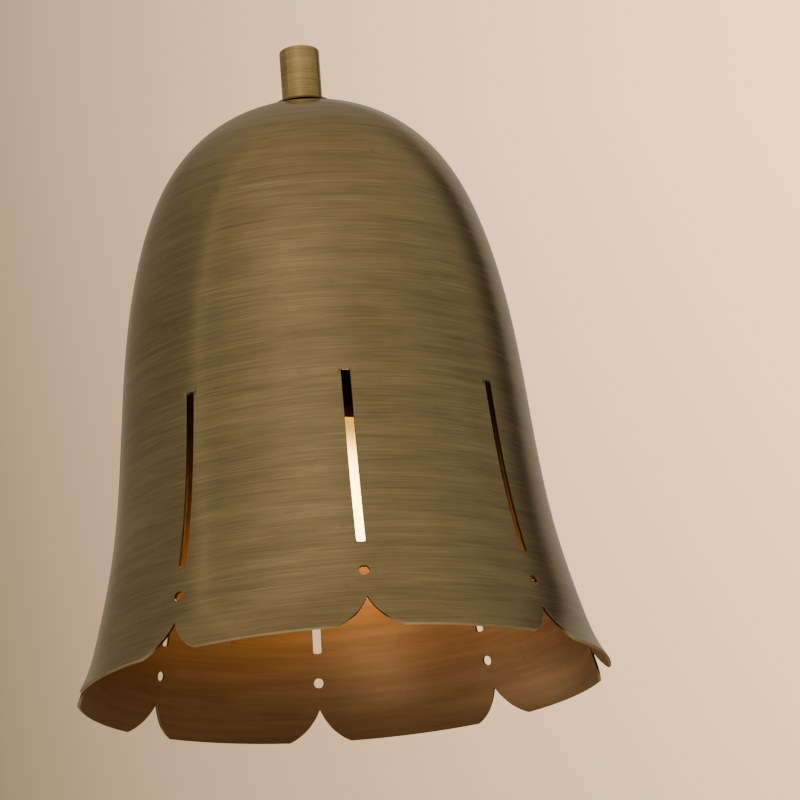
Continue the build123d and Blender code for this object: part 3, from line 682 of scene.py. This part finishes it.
hub = {"radius": 6.7, "low": 2.4, "top": 21.7, "edge": 0.75, "bore": 3.2, "boreTop": 14.0, "pipe": 4.85,
       "pipeTop": 5.3, "armHeight": 9.2, "armRadius": 3.5, "armSeat": 1.6, "socketDepth": 8.0}


def makeHub():
    # turned stub with worn edges of 0.2 and 0.3 mm
    bore, neck, radius, low, top = hub["bore"], hub["pipe"], hub["radius"], hub["low"], hub["top"]
    profile = [(bore, hub["boreTop"]), (bore, hub["pipeTop"]), (neck, hub["pipeTop"]), (neck, low + 0.2),
               (neck + 0.2, low), (radius - 0.3, low), (radius - 0.09, low + 0.09), (radius, low + 0.3)]
    profile += [(radius, height) for height in np.linspace(low + 1, top - 1, 12)]
    profile += arcPoints((radius - hub["edge"], top - hub["edge"]), hub["edge"], 0, 90, 6)
    profile += [(radius * 0.6, top), (radius * 0.25, top), (onAxis, top), (onAxis, hub["boreTop"])]
    obj = turnedForm("hubBody", lambda turn: profile, 96, "fixture", "hub", "hubBrass")
    # the arm's socket is cut from the back
    cutterMesh = bpy.data.meshes.new("armSocketTool")
    tool = bmesh.new()
    middle = hub["radius"] - hub["armSeat"] + hub["socketDepth"] / 2
    wide, deep = hub["armRadius"] * mm, hub["socketDepth"] * mm
    place = Matrix.Translation((0, middle * mm, hub["armHeight"] * mm)) @ Matrix.Rotation(pi / 2, 4, "X")
    bmesh.ops.create_cone(tool, cap_ends=True, segments=48, radius1=wide, radius2=wide, depth=deep,
                          matrix=place)
    tool.to_mesh(cutterMesh)
    tool.free()
    cutter = bpy.data.objects.new("armSocketTool", cutterMesh)
    cutter.location = shadePlace
    bpy.context.scene.collection.objects.link(cutter)
    bpy.context.view_layer.update()
    cut = obj.modifiers.new("armSocket", "BOOLEAN")
    cut.object = cutter
    cut.solver = "EXACT"
    depsgraph = bpy.context.evaluated_depsgraph_get()
    made = bpy.data.meshes.new_from_object(obj.evaluated_get(depsgraph))
    obj.modifiers.clear()
    obj.data = made
    bpy.data.objects.remove(cutter)
    smoothByAngle(made, roundAngle)


makeHub()
print("hub and ring made")

pipe = {"radius": 4.78, "depth": 0.45, "pitch": 1.0, "low": -52.0, "high": 5.2, "bore": 3.2,
        "steps": 40, "smoothAngle": 60}
threadedRod("shadePipe", pipe, "shade_pipe")
domeWasher = {"radius": 9.5, "thick": 1.2, "bore": 4.85, "low": -2.2, "edge": 0.3}
flatWasher("domeWasher", domeWasher, "dome_washer")
domeNut = {"flats": 14.0, "bore": 4.85, "thick": 4.0, "low": -6.2, "chamfer": 0.9}
hexNut("domeNut", domeNut, "dome_nut", "innerBrass")
cupNut = {**domeNut, "low": -45.0}
hexNut("cupNut", cupNut, "cup_nut", "innerBrass")

cup = {"radius": 20.0, "wall": 0.8, "top": -45.0, "bottom": -112.0, "shoulder": 5.0, "hole": 4.85}


def makeCup():
    side, shoulder, top, low = cup["radius"], cup["shoulder"], cup["top"], cup["bottom"]
    outer = [(cup["hole"], top), (side - shoulder, top)]
    outer += arcPoints((side - shoulder, top - shoulder), shoulder, 90, 0, 10)[1:]
    outer += [(side, height) for height in np.linspace(top - 8, low + 0.3, 14)]
    inner = [(radius - cup["wall"] if radius > 12 else radius, min(height, top - cup["wall"]))
             for radius, height in outer]
    lip = [(side - 0.1, low + 0.1), (side - 0.4, low), (side - 0.7, low + 0.1)]
    profile = outer + lip + inner[::-1]
    turnedForm("socketCup", lambda turn: profile, 96, "fixture", "socket_cup", "cupBrassPaintedShade")


def rolledThread(thread, caps=()):
    # a rolled screw thread: both skins of the sheet follow the wave
    low, high, pitch = thread["low"], thread["high"], thread["pitch"]
    rows = int((high - low) / pitch * 10)
    heights = [low + (high - low) * row / rows for row in range(rows + 1)]

    def profileAt(turn):
        outer, inner = [], []
        for height in heights:
            edge = min(1.0, min(height - low, high - height) / (pitch * 0.4))
            wave = thread["depth"] * (0.5 - threadWave(height, turn, pitch)) * max(edge, 0)
            outer.append((thread["radius"] - wave, height))
            inner.append((thread["radius"] - thread["wall"] - wave, height))
        return outer + list(caps) + inner[::-1]
    return profileAt


makeCup()
# the shell that the bulb screws into is left smooth
shell = {"radius": 13.75, "wall": 0.35, "low": -96.9, "high": -65.05, "pitch": 3.6, "depth": 0.0}
turnedForm("screwShell", rolledThread(shell), 64, "fixture", "screw_shell", "innerBrass")
print("lamp holder pieces made")

bulb = {"capTop": -73.0, "capFlat": 10.0, "neck": 12.55, "neckEnd": -98.0, "globe": 22.5, "globeDrop": -130.0,
        "wall": 0.9, "seat": -92.0, "tipRadius": 4.7, "tipLow": -69.6, "tipHeight": 1.6, "insulatorEdge": 0.6,
        "bendSteps": 12, "globeSteps": 30}
capThread = {"radius": 13.0, "wall": 0.4, "low": -93.98, "high": -76.0, "pitch": 3.6, "depth": 0.55}


def bulbOutline(inset):
    # neck, a round bend that touches the globe, and the globe down to the axis
    ball, neck = bulb["globe"] - inset, bulb["neck"] - inset
    rise = bulb["neckEnd"] - bulb["globeDrop"]
    bend = (bulb["neck"]**2 + rise**2 - bulb["globe"]**2) / (2 * (bulb["globe"] - bulb["neck"])) + inset
    touchAngle = atan2(rise, neck + bend)
    points = [(neck, bulb["seat"])]
    for step in range(bulb["bendSteps"] + 1):
        turn = pi + touchAngle * step / bulb["bendSteps"]
        points.append((neck + bend + bend * cos(turn), bulb["neckEnd"] + bend * sin(turn)))
    for step in range(1, bulb["globeSteps"] + 1):
        turn = touchAngle - (touchAngle + pi / 2) * step / bulb["globeSteps"]
        points.append((max(ball * cos(turn), onAxis), bulb["globeDrop"] + ball * sin(turn)))
    return points


glass = bulbOutline(0) + bulbOutline(bulb["wall"])[::-1]
turnedForm("bulbGlass", lambda turn: glass, 96, "bulb", "bulb_glass", "frostedGlass")
capFlat, capTop, tipRadius, tipLow = bulb["capFlat"], bulb["capTop"], bulb["tipRadius"], bulb["tipLow"]
capProfile = rolledThread(capThread, ((capFlat, capTop), (capFlat - 0.4, capTop - 0.4)))
turnedForm("bulbCap", capProfile, 72, "bulb", "bulb_cap", "capMetal")
turnedPiece("bulbInsulator", [
    (onAxis, capTop), (capFlat, capTop), (capFlat - 0.7, capTop + 1.4),
    (tipRadius + 1, tipLow), (onAxis, tipLow),
], bulb["insulatorEdge"], "bulb", "bulb_insulator", "blackGlass")
tip = [(tipRadius, tipLow)]
tip += [(max(tipRadius * cos(turn), onAxis), tipLow + bulb["tipHeight"] * sin(turn))
        for turn in np.linspace(0.12, pi / 2, 8)]
tip += [(onAxis, tipLow)]
turnedForm("bulbContact", lambda turn: tip, 48, "bulb", "bulb_contact", "solder")
print("bulb made")

plate = {"radius": 50.0, "depth": 24.0, "wall": 1.2, "edge": 11.0, "hole": 4.85,
         "rings": (0.7, 0.6, 0.5, 0.4, 0.3, 0.2)}      # shares of the radius


def plateSkin(inset):
    # outer skin of the dish, or the inner one where it is inset by the wall
    radius, level = plate["radius"] - inset, plate["depth"] - inset
    centre = (plate["radius"] - plate["edge"], plate["depth"] - plate["edge"])
    skin = [(radius, 0.25), (radius, 5), (radius, centre[1])]
    skin += arcPoints(centre, plate["edge"] - inset, 0, 90, 16)[1:]
    return skin + [(plate["radius"] * share, level) for share in plate["rings"]] + [(plate["hole"], level)]


def makePlate():
    lip = [(plate["radius"] - plate["wall"] + 0.25, 0), (plate["radius"] - 0.25, 0)]
    outline = plateSkin(0) + plateSkin(plate["wall"])[::-1] + lip
    turnedForm("backPlate", lambda turn: outline, 128, "fixture", "backplate", "plateBrass",
               upright=False)


collar = {"radius": 12.0, "flange": 3.0, "neck": 6.2, "length": 12.0, "sweep": 2.4, "round": 1.2,
          "base": 24.0, "bore": 4.85, "armBore": 3.5, "seat": 7.5}


def makeCollar():
    radius, neck, base, ease = collar["radius"], collar["neck"], collar["base"], 0.6
    flange, end, seat = base + collar["flange"], base + collar["length"], base + collar["seat"]
    profile = [(collar["bore"], base), (radius - ease, base)]
    profile += arcPoints((radius - ease, base + ease), ease, -90, 0, 4)[1:]
    profile += arcPoints((radius - collar["round"], flange - collar["round"]), collar["round"], 0, 90, 6)
    profile += arcPoints((neck + collar["sweep"], flange + collar["sweep"]), collar["sweep"], 270, 180, 8)
    profile += [(neck, base + 8), (neck, end - 0.4), (neck - 0.4, end), (collar["armBore"], end),
                (collar["armBore"], seat), (collar["bore"], seat)]
    turnedForm("armCollar", lambda turn: profile, 80, "fixture", "arm_collar", "collarBrass",
               upright=False)


capNut = {"radius": 5.0, "height": 7.4, "round": 3.75, "bore": 2.05, "boreDepth": 4.6, "base": 24.0}
studSpots = (-23.0, 23.0)


def makeCapNuts():
    bore, radius, base = capNut["bore"], capNut["radius"], capNut["base"]
    crown, boreEnd = base + capNut["height"], base + capNut["boreDepth"]
    roundFrom = crown - capNut["round"]
    dome = [(bore, base), (radius - 0.25, base), (radius, base + 0.25), (radius, roundFrom)]
    dome += arcPoints((radius - capNut["round"], roundFrom), capNut["round"], 0, 90, 8)[1:]
    dome += [(onAxis, crown), (onAxis, boreEnd), (bore, boreEnd)]
    turnedForm("capNuts", lambda turn: dome, 48, "fixture", "cap_nuts", "capNutBrass",
               upright=False, spots=studSpots)


makePlate()
makeCollar()
makeCapNuts()
nipple = {**pipe, "low": 14.3, "high": 31.5}
threadedRod("armNipple", nipple, "arm_nipple", upright=False)
stud = {"radius": 1.97, "depth": 0.3, "pitch": 0.7, "low": 0.0, "high": 27.9, "bore": 0,
        "steps": 24, "smoothAngle": roundAngle}
threadedRod("fixingStuds", stud, "fixing_studs", upright=False, spots=studSpots)
plateNut = {**domeNut, "low": 17.8}
hexNut("plateNut", plateNut, "plate_nut", "innerBrass", upright=False)
studNut = {"flats": 7.0, "bore": 2.05, "thick": 3.2, "low": 2.0, "chamfer": 0.6}
hexNut("studNuts", studNut, "stud_nuts", "zincSteel", upright=False, spots=studSpots)
plateWasher = {"radius": 9.0, "thick": 1.0, "bore": 4.85, "low": 21.8, "edge": 0.25}
flatWasher("plateWasher", plateWasher, "plate_washer", upright=False)
print("backplate, collar and fixings made")

arm = {"radius": 3.5, "bore": 2.5, "start": 114.9, "end": 31.5, "height": 69.2, "upperCorner": 75.5,
       "lowerCorner": 51.0, "upperShare": 0.856, "lowerShare": 0.724}


def bentPath(corners, tangents, steps):
    # straight lengths joined by round bends, each a tangent's length from its corner
    corners = [Vector(c) for c in corners]
    path = [corners[0]]
    for here, before, after, tangent in zip(corners[1:-1], corners[:-2], corners[2:], tangents):
        into, out = (before - here).normalized(), (after - here).normalized()
        half = into.angle(out) / 2
        radius = tangent * tan(half)
        centre = here + (into + out).normalized() * (radius / sin(half))
        start, end = here + into * tangent - centre, here + out * tangent - centre
        total = start.angle(end)
        for step in range(steps + 1):
            share = step / steps
            path.append(centre + (start * sin((1 - share) * total) + end * sin(share * total)) / sin(total))
    path.append(corners[-1])
    return path


def pipeAlong(path, radius, bore, steps):
    # tube along a path in the upright plane x = 0
    rings = []
    side = Vector((1, 0, 0))
    for index, here in enumerate(path):
        before, after = path[max(index - 1, 0)], path[min(index + 1, len(path) - 1)]
        rings.append((here, (after - before).normalized().cross(side)))
    verts, faces = [], []
    for skin in (radius, bore):
        for here, up in rings:
            for step in range(steps):
                turn = 2 * pi * step / steps
                point = here + side * skin * cos(turn) + up * skin * sin(turn)
                verts.append(tuple(c * mm for c in point))
    count = len(rings) * steps
    for layer in (0, count):
        for index in range(len(rings) - 1):
            for step in range(steps):
                a, b = layer + index * steps + step, layer + index * steps + (step + 1) % steps
                faces.append((a, b, b + steps, a + steps))
    for index in (0, len(rings) - 1):
        for step in range(steps):
            a, b = index * steps + step, index * steps + (step + 1) % steps
            faces.append((a, b, b + count, a + count))
    return verts, faces


armCorners = [(0, -arm["start"], arm["height"]), (0, -arm["upperCorner"], arm["height"]),
              (0, -arm["lowerCorner"], 0), (0, -arm["end"], 0)]
armPath = bentPath(armCorners, ((arm["start"] - arm["upperCorner"]) * arm["upperShare"],
                                (arm["lowerCorner"] - arm["end"]) * arm["lowerShare"]), 24)
verts, faces = pipeAlong(armPath, arm["radius"], arm["bore"], 40)
pieceFrom("armTube", verts, faces, "fixture", "arm", ["armBrass"], wallPlace)
print("arm made")

# stage, light and camera
studio = {
    "floor": -2.0, "floorSize": 60.0, "floorColour": (0.58, 0.50, 0.41),
    "lens": 190.404, "camera": (-0.146524, -1.443469, -0.426994),
    "right": (0.991525, -0.107196, -0.073396), "up": (0.040174, -0.284271, 0.957902),
    "wallDim": (0.44, 0.312, 0.188), "wallBright": (3.3, 2.15, 1.20), "lowShade": 0.68,
    "roomTint": (1.0, 0.93, 0.80), "wallTint": (1.0, 0.85, 0.63), "wallFrom": 125,
    "ceiling": (0.52, 0.47, 0.385), "roomPower": 0.56, "brightest": 2.0,
    "heights": [(0.0, (0.80, 0.78, 0.74)), (0.45, 1)],
    "overhead": [(0.60, 0), (0.92, 0.8)],
    # (angle, brightness) of the room: 0 looks straight out of the wall, + is to the right
    "around": [(-180, 0.66), (-168, 0.72), (-157, 0.54), (-118, 0.56), (-95, 0.58), (-86, 0.60),
               (-84, 1.5), (-80, 1.5), (-78, 0.80), (-60, 1.0), (-38, 1.24), (-14, 1.30), (14, 1.16),
               (42, 1.0), (78, 0.79), (104, 0.70), (114, 0.30), (127, 0.08), (134, 0.30), (145, 0.42),
               (160, 0.53), (180, 0.66)],
}
# soft lights: place, what they point at, size, power and colour
panels = {
    "softFront": ((-0.5, -1.9, 0.9), (0, -0.12, 0), (1.1, 1.5), 0.5, (1.0, 0.95, 0.86)),
    "softLow": ((-1.0, -2.4, -0.85), (0, -0.12, -0.1), (0.9, 0.7), 5.0, (1.0, 0.93, 0.84)),
    "softSide": ((-2.3, 0.6, -0.95), (0, -0.12, -0.1), (2.2, 0.6), 6.0, (1.0, 0.95, 0.84)),
    "softBelow": ((0, 0.25, -1.4), (0, -0.12, -0.1), (0.8, 0.8), 1.3, (1.0, 0.95, 0.88)),
    "softBack": ((0.9, 1.3, 0.8), (0, -0.05, 0), (1.2, 1.2), 1.0, (1.0, 0.95, 0.86)),
}


def makeRoomLight():
    world = bpy.data.worlds.new("room")
    bpy.context.scene.world = world
    world.use_nodes = True
    tree = world.node_tree
    direction = tree.nodes.new("ShaderNodeTexCoord").outputs["Generated"]
    x, y, z = axes(tree, direction)
    turn = mathNode(tree, "ARCTAN2", x, mathNode(tree, "MULTIPLY", y, -1.0))
    share = mathNode(tree, "MULTIPLY_ADD", turn, 1 / (2 * pi), 0.5)
    around = []
    for angle, value in studio["around"]:
        tint = studio["wallTint" if abs(angle) > studio["wallFrom"] else "roomTint"]
        around.append(((angle + 180) / 360, tuple(value / studio["brightest"] * c for c in tint)))
    room = ramp(tree, share, around)
    height = ramp(tree, z, studio["heights"])
    overhead = ramp(tree, z, studio["overhead"])
    walls = mixColour(tree, 1.0, room, height, "MULTIPLY")
    lit = mixColour(tree, overhead, walls, studio["ceiling"])
    # the wall that the camera sees: painted light brighter to the right, painted shadow to the left and low
    # down
    dim, bright = studio["wallDim"], studio["wallBright"]
    wall = ramp(tree, share, [(0.0, dim), (0.04, dim), (0.5, bright), (0.955, bright), (0.998, dim)])
    low = ramp(tree, z, [(0.16, studio["lowShade"]), (0.34, 1)])
    backdrop = mixColour(tree, 1.0, wall, low, "MULTIPLY")
    seen = tree.nodes.new("ShaderNodeLightPath").outputs["Is Camera Ray"]
    roomLight, backLight = tree.nodes["Background"], tree.nodes.new("ShaderNodeBackground")
    tree.links.new(lit, roomLight.inputs[0])
    roomLight.inputs[1].default_value = studio["roomPower"] * studio["brightest"]
    tree.links.new(backdrop, backLight.inputs[0])
    blend = tree.nodes.new("ShaderNodeMixShader")
    tree.links.new(seen, blend.inputs[0])
    tree.links.new(roomLight.outputs[0], blend.inputs[1])
    tree.links.new(backLight.outputs[0], blend.inputs[2])
    tree.links.new(blend.outputs[0], tree.nodes["World Output"].inputs[0])


def softPanel(name, place, aim, size, power, colour):
    light = bpy.data.lights.new(name, "AREA")
    light.shape = "RECTANGLE"
    light.size, light.size_y = size
    light.energy = power
    light.color = colour
    obj = bpy.data.objects.new(name, light)
    obj.location = place
    obj.rotation_euler = (Vector(aim) - Vector(place)).to_track_quat("-Z", "Y").to_euler()
    obj.visible_camera = False
    bpy.context.scene.collection.objects.link(obj)


def makeStudio():
    bpy.ops.mesh.primitive_plane_add(size=studio["floorSize"], location=(0, 0, studio["floor"]))
    floor = bpy.context.object
    floor.name = "floor"
    floor.data.materials.append(simpleMaterial("floorPaint", {
        "base": studio["floorColour"], "second": tuple(c * 0.97 for c in studio["floorColour"]),
        "scale": 2, "rough": 0.7, "bump": 0.02}))
    makeRoomLight()
    for name, panel in panels.items():
        softPanel(name, *panel)
    camera = bpy.data.cameras.new("photoCamera")
    camera.lens = studio["lens"]
    camera.sensor_width = 36
    camera.clip_end = 50
    cameraObj = bpy.data.objects.new("photoCamera", camera)
    right, up = Vector(studio["right"]), Vector(studio["up"])
    turn = Matrix((right, up, right.cross(up))).transposed().to_4x4()
    cameraObj.matrix_world = Matrix.Translation(studio["camera"]) @ turn
    bpy.context.scene.collection.objects.link(cameraObj)
    bpy.context.scene.camera = cameraObj


makeStudio()
print("studio made")

# pressed, cut and moulded pieces: the CAD form with worn edges
sharpAngle = 38


def softEdged(name, node, slot, finish, width, segments):
    tools = bmesh.new()
    tools.from_mesh(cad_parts[node].data)
    bmesh.ops.remove_doubles(tools, verts=tools.verts, dist=0.001 * mm)
    bmesh.ops.dissolve_limit(tools, angle_limit=radians(1), verts=tools.verts, edges=tools.edges)
    mesh = bpy.data.meshes.new(name)
    tools.to_mesh(mesh)
    tools.free()
    mesh.materials.append(materials[finish])
    smoothByAngle(mesh, sharpAngle)
    obj = bpy.data.objects.new(name, mesh)
    attach(obj, "fixture", node)
    roundEdges(obj, "wornEdges", width, segments, sharpAngle)


# name: (CAD node, slot, finish, width of the worn edge in mm, its segments)
softPieces = {
    "crossBar": ("crossbar", "steel", "zincSteel", 0.25, 2),
    "holderBridge": ("holder_bridge", "steel", "zincSteel", 0.25, 2),
    "terminalBlock": ("terminal_block", "block_plastic", "nylon", 0.3, 2),
    "terminalClips": ("terminal_clips", "inner_brass", "innerBrass", 0.2, 2),
    "holderScrews": ("holder_screws", "steel", "zincSteel", 0.25, 2),
    "porcelainHolder": ("lamp_holder", "porcelain", "porcelain", 0.4, 3),
    "earthScrew": ("earth_screw", "earth_green", "earthGreen", 0.12, 2),
    "centreContact": ("centre_contact", "inner_brass", "innerBrass", 0.08, 2),
    "nippleBush": ("nipple_bush", "bush_plastic", "nylon", 0.15, 2),
    "pipeBush": ("pipe_bush", "bush_plastic", "nylon", 0.15, 2),
}
for name, piece in softPieces.items():
    softEdged(name, *piece)
print("pressed and moulded pieces made")

# CAD nodes that stay, with their finishes
nodeFinish = {
    "live_lead": "brownSleeve", "neutral_lead": "blueSleeve", "bulb_stem": "nylon", "filament": "tungsten",
}
for nodeName, finish in nodeFinish.items():
    node = bpy.data.objects.get(nodeName)
    if node is None:
        raise SystemExit(f"no CAD node {nodeName}")
    node.data.materials.clear()
    node.data.materials.append(materials[finish])
print("finishes set on", len(nodeFinish), "nodes")
